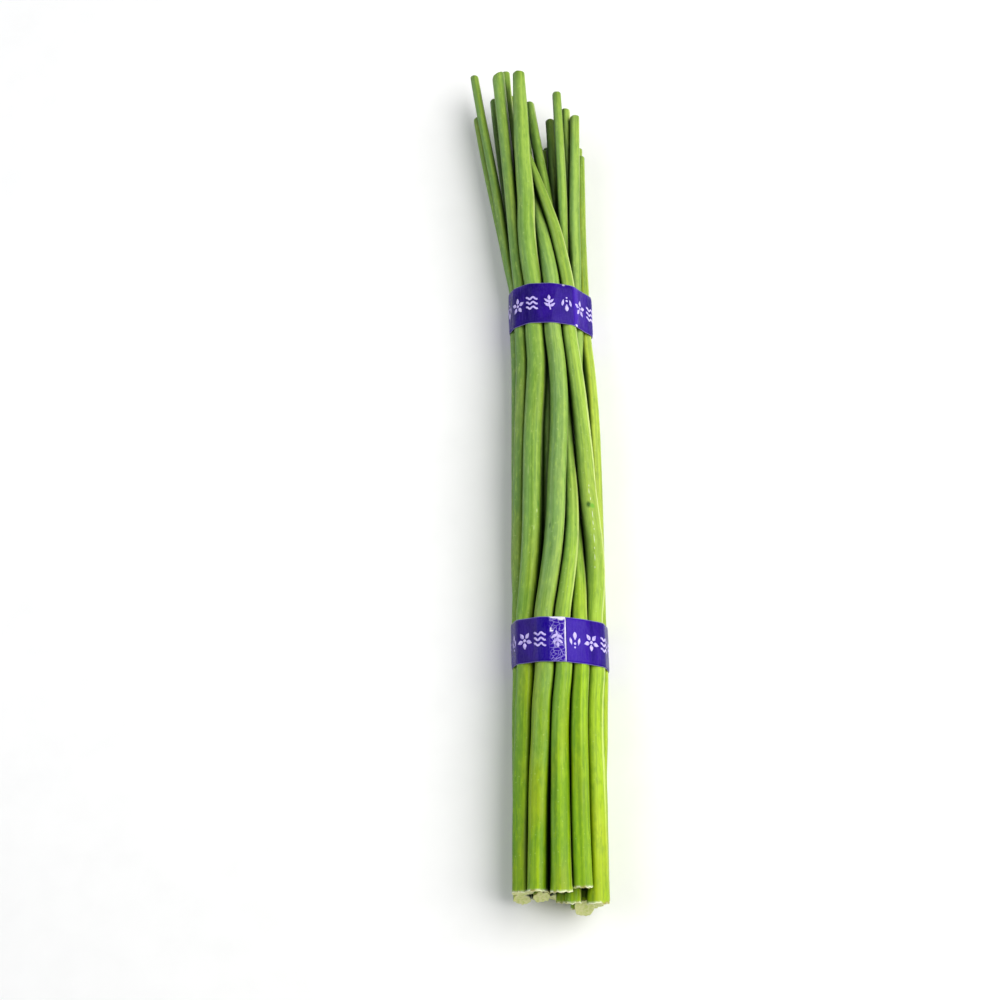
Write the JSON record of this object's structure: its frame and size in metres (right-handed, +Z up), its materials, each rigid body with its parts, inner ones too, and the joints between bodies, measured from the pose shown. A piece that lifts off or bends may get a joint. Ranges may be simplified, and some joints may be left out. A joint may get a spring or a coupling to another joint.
{
  "type": "bunch of garlic scapes",
  "caption": "Bunch of cut garlic scapes, bound with two purple printed film tapes and lying on its side, for food and kitchen scenes.",
  "frame": {"origin": "middle of the bunch's footprint, on the surface that it lies on", "axes": "+Z up, +Y along the bunch from the cut ends to the tips, +X across the bunch"},
  "size_m": [0.058, 0.4068, 0.0385],
  "materials": {
    "scape": "satin fresh plant skin",
    "tape": "glossy thin film"
  },
  "bodies": {
    "root": {"scape_01": "scape", "scape_02": "scape", "scape_03": "scape", "scape_04": "scape", "scape_05": "scape", "scape_06": "scape", "scape_07": "scape", "scape_08": "scape", "scape_09": "scape", "scape_10": "scape", "scape_11": "scape", "scape_12": "scape", "scape_13": "scape", "scape_14": "scape", "scape_15": "scape", "scape_16": "scape", "scape_17": "scape", "scape_18": "scape", "scape_19": "scape", "scape_20": "scape", "lower_tape": "tape", "upper_tape": "tape"}
  },
  "joints": []
}
